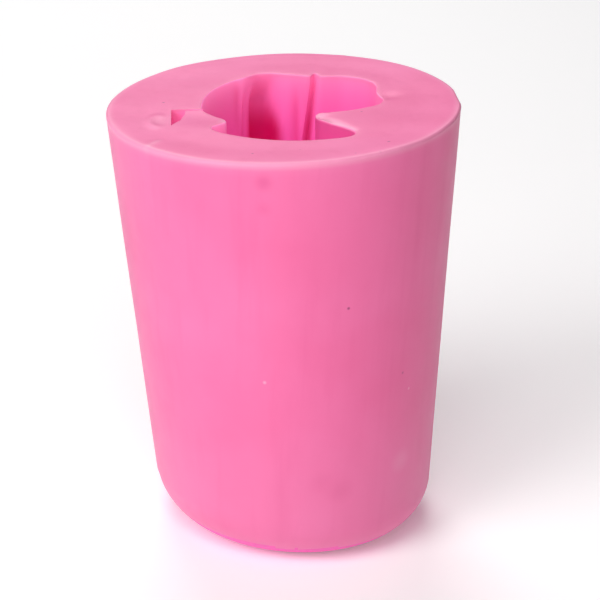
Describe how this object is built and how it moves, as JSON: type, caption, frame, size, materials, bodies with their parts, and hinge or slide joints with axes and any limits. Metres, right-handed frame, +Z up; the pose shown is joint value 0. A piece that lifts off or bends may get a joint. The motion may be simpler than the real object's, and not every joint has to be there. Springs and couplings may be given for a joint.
{
  "type": "silicone candle mould",
  "caption": "Tapered block mould of soft silicone for a robed figure candle, slit down one side so that it opens like a book.",
  "frame": {"origin": "on the floor, under the middle of the pour face's widest circle", "axes": "+Z up, from the closed end to the pour face; the casting's own axis leans 4 degrees from +Z towards -X; the slit is on the -X side and the uncut wall on the +X side; -Y is the front half"},
  "size_m": [0.0898, 0.09, 0.1173],
  "materials": {
    "silicone": "satin soft silicone, slightly translucent at thin edges"
  },
  "bodies": {
    "back": {"back_half": "silicone", "hinge_wall": "silicone"},
    "front": {"front_half": "silicone"}
  },
  "joints": [
    {"name": "slit_open", "type": "hinge", "parent": "back", "child": "front", "pos_m": [0.045, 0.0005, 0], "axis": [0, 0, 1], "range_deg": [0, 35], "stiffness_Nm_per_rad": 2.5}
  ]
}
